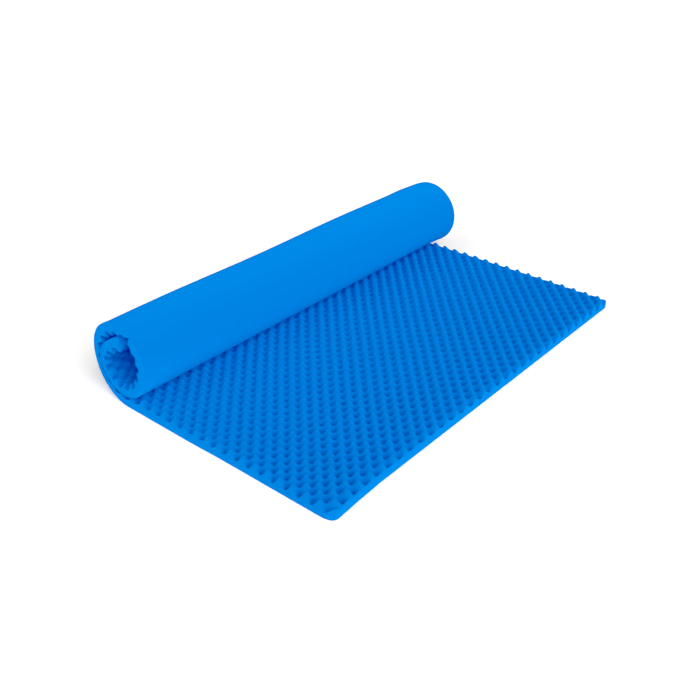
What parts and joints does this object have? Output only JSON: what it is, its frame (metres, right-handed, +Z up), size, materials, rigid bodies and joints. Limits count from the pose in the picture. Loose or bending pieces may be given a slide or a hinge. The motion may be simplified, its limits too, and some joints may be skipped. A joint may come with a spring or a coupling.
{
  "type": "mattress topper",
  "caption": "Blue egg-crate foam mattress topper in one piece, smooth back down, partly rolled up with the bumps facing up and inwards.",
  "frame": {"origin": "centre of the box round the topper, on the floor it lies on", "axes": "+X along the roll and across the sheet, +Y from the free edge towards the roll, +Z up"},
  "size_m": [1.6, 0.9813, 0.2895],
  "materials": {
    "blue_foam": "matt open-cell foam"
  },
  "bodies": {
    "root": {"foam_topper": "blue_foam"}
  },
  "joints": []
}
